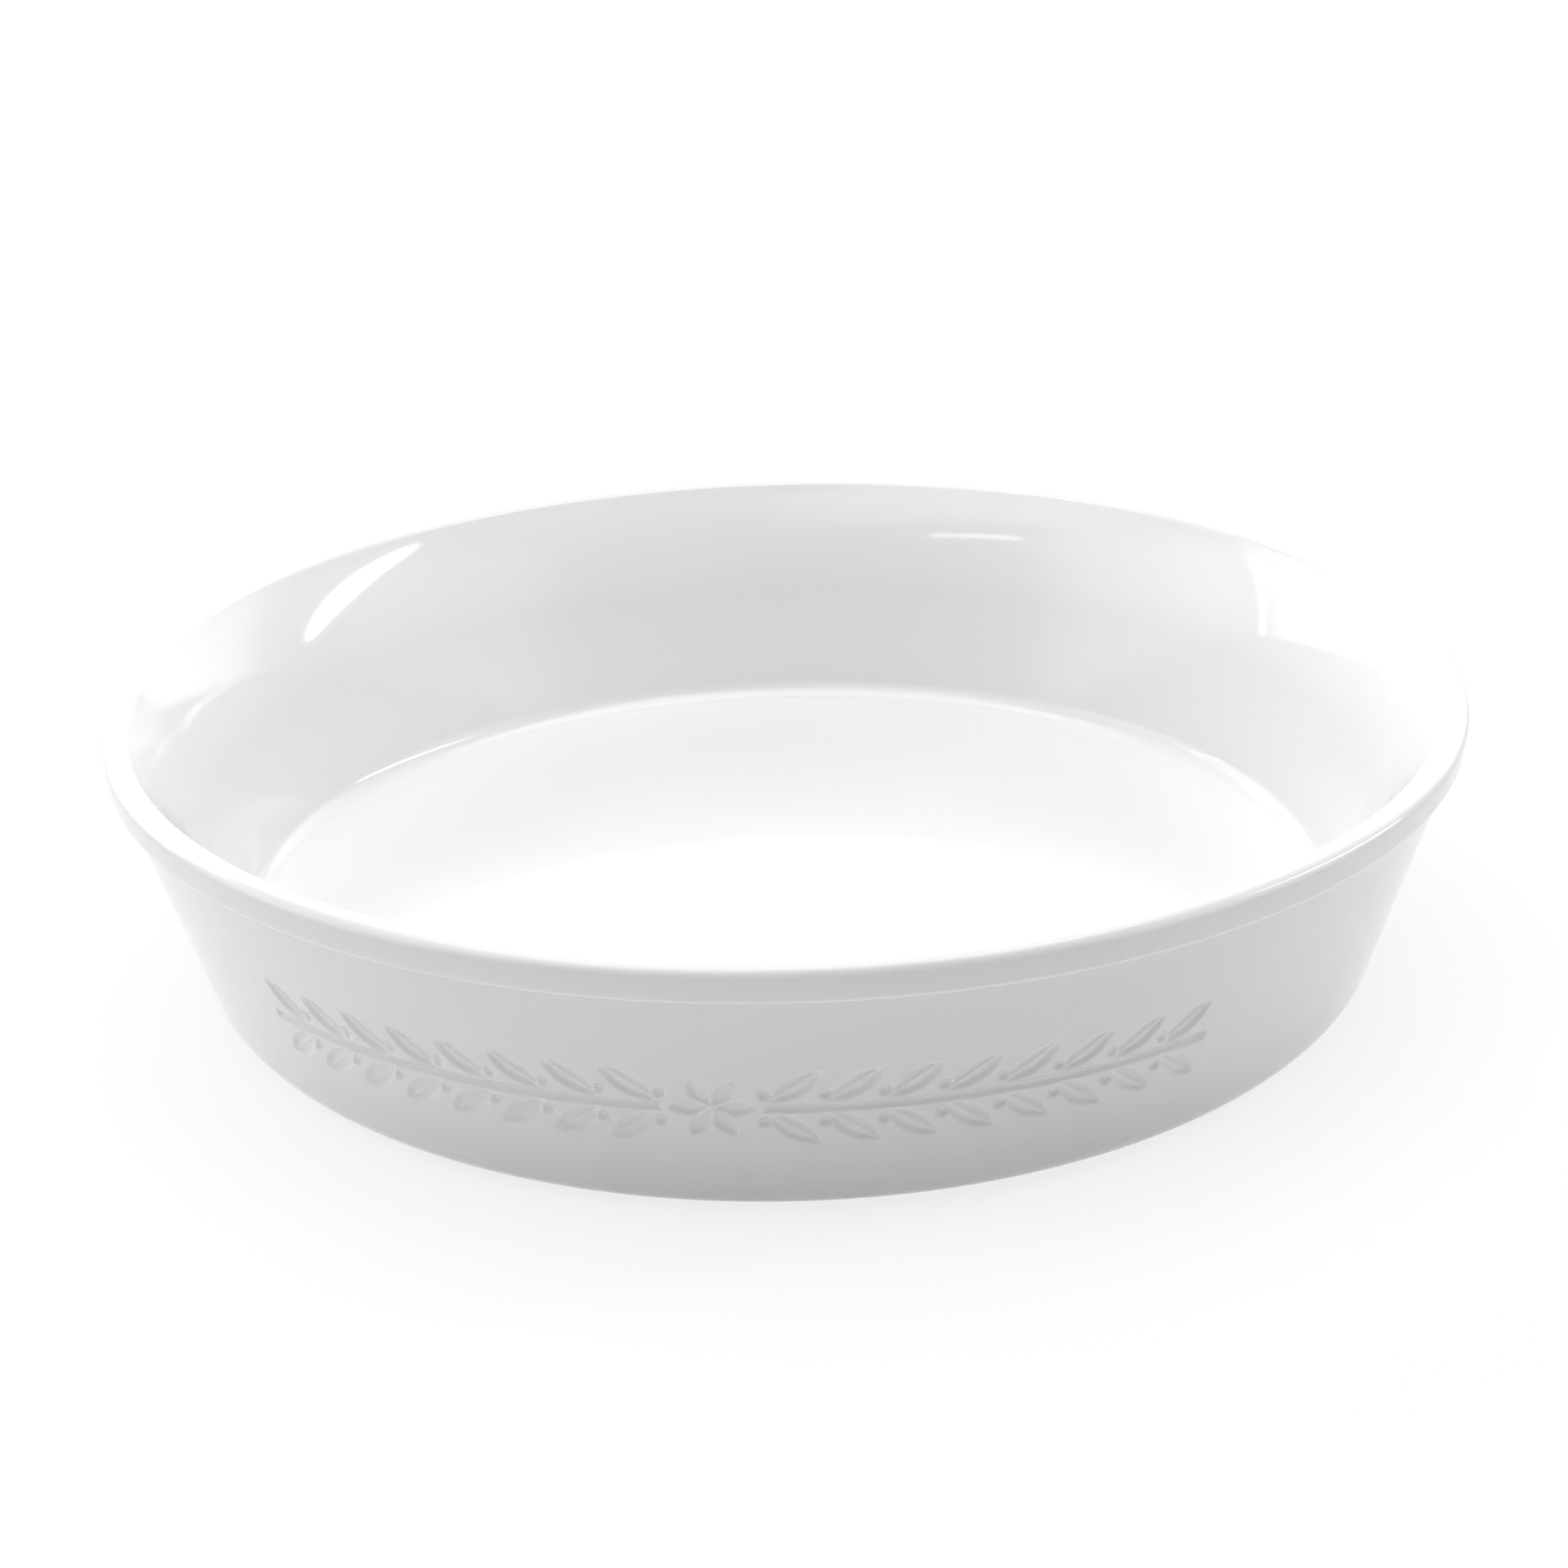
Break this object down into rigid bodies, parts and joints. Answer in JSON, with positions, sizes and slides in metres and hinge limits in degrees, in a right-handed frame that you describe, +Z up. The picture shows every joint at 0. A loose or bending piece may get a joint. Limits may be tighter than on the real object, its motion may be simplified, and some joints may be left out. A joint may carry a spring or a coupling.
{
  "type": "pie dish",
  "caption": "Round glazed ceramic pie dish with a flared wall, a raised collar under its rounded rim, a leaf garland pressed into the front and a bare foot ring.",
  "frame": {"origin": "on the surface the dish stands on, at the centre of the foot ring", "axes": "+Z up along the dish's axis, -Y towards the side with the leaf garland, +X to the right of someone facing that side"},
  "size_m": [0.28, 0.28, 0.058],
  "materials": {
    "biscuit": "bare fired stoneware, matt and faintly grainy, seen only on the standing face of the foot ring",
    "glaze": "opaque white gloss glaze, smooth, with a slight waviness"
  },
  "bodies": {
    "root": {"biscuit_body": "biscuit", "glaze_coat": "glaze", "glaze_underside": "glaze"}
  },
  "joints": []
}
